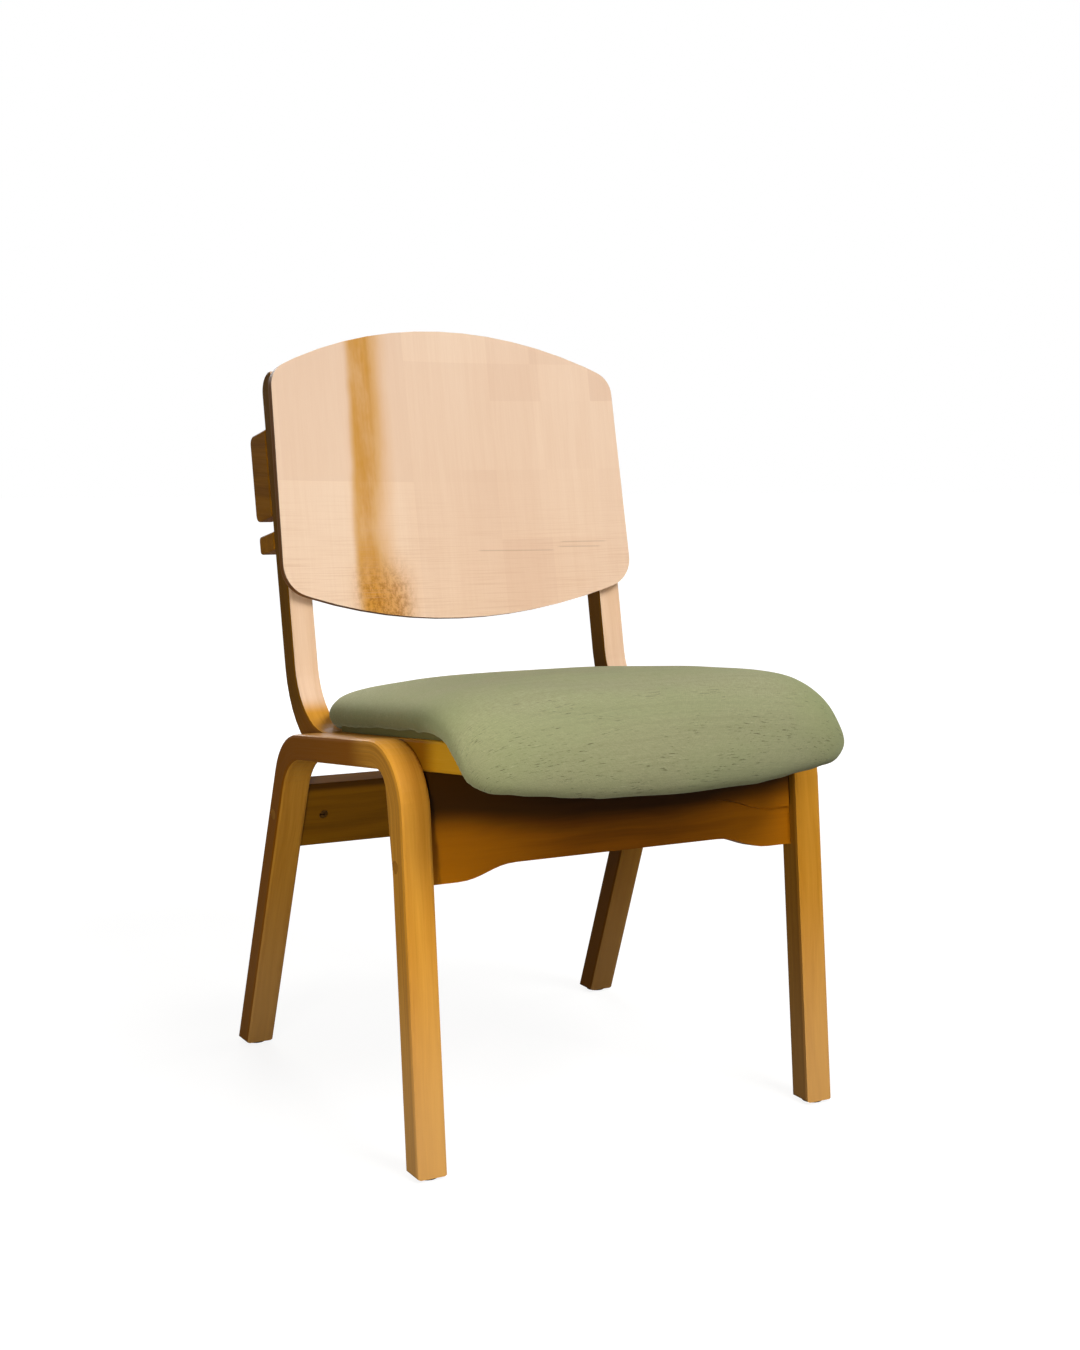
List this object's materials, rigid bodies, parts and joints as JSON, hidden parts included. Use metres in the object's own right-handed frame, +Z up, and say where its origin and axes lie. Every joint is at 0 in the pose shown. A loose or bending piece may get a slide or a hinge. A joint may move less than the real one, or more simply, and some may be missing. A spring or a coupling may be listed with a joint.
{
  "type": "chair",
  "caption": "Choir chair with bent laminated wood legs and posts, a curved plywood back, a padded seat rolled over its front edge, and a book rack behind.",
  "frame": {"origin": "middle of the chair's footprint box, on the floor", "axes": "+X to the right seen from the front, +Y from the front of the seat to the back rest, +Z up"},
  "size_m": [0.5, 0.6034, 0.8308],
  "materials": {
    "leg_wood": "clear satin lacquer",
    "post_wood": "clear satin lacquer",
    "back_veneer": "clear satin lacquer on pale veneer",
    "rail_wood": "clear satin lacquer",
    "plywood": "bare sanded plywood",
    "rack_wood": "clear satin lacquer",
    "plug_wood": "clear satin lacquer",
    "seat_fabric": "woven matt upholstery",
    "steel": "zinc plated",
    "glide_nylon": "moulded"
  },
  "bodies": {
    "root": {"leg_frame_left": "leg_wood", "leg_frame_right": "leg_wood", "side_member_left": "post_wood", "side_member_right": "post_wood", "back_panel": "back_veneer", "front_apron": "rail_wood", "front_seat_rail": "rail_wood", "rear_rail": "rail_wood", "seat_board": "plywood", "seat_cushion": "seat_fabric", "rack_cheek_left": "rack_wood", "rack_cheek_right": "rack_wood", "rack_board": "rack_wood", "rack_ledge": "rack_wood", "front_apron_bolt_plug_left": "plug_wood", "front_apron_bolt_plug_right": "plug_wood", "rear_rail_bolt_plug_left": "plug_wood", "rear_rail_bolt_plug_right": "plug_wood", "front_apron_barrel_nut_left": "steel", "front_apron_barrel_nut_right": "steel", "rear_rail_barrel_nut_left": "steel", "rear_rail_barrel_nut_right": "steel", "front_apron_bolt_left": "steel", "front_apron_bolt_right": "steel", "rear_rail_bolt_left": "steel", "rear_rail_bolt_right": "steel", "front_frame_bolt_left": "steel", "front_frame_bolt_right": "steel", "rear_frame_bolt_left": "steel", "rear_frame_bolt_right": "steel", "lower_panel_bolt_left": "steel", "lower_panel_bolt_right": "steel", "upper_panel_bolt_left": "steel", "upper_panel_bolt_right": "steel", "front_seat_screw_left": "steel", "front_seat_screw_right": "steel", "rear_seat_screw_left": "steel", "rear_seat_screw_right": "steel", "foot_glide_front_left": "glide_nylon", "foot_glide_front_right": "glide_nylon", "foot_glide_rear_left": "glide_nylon", "foot_glide_rear_right": "glide_nylon"}
  },
  "joints": []
}
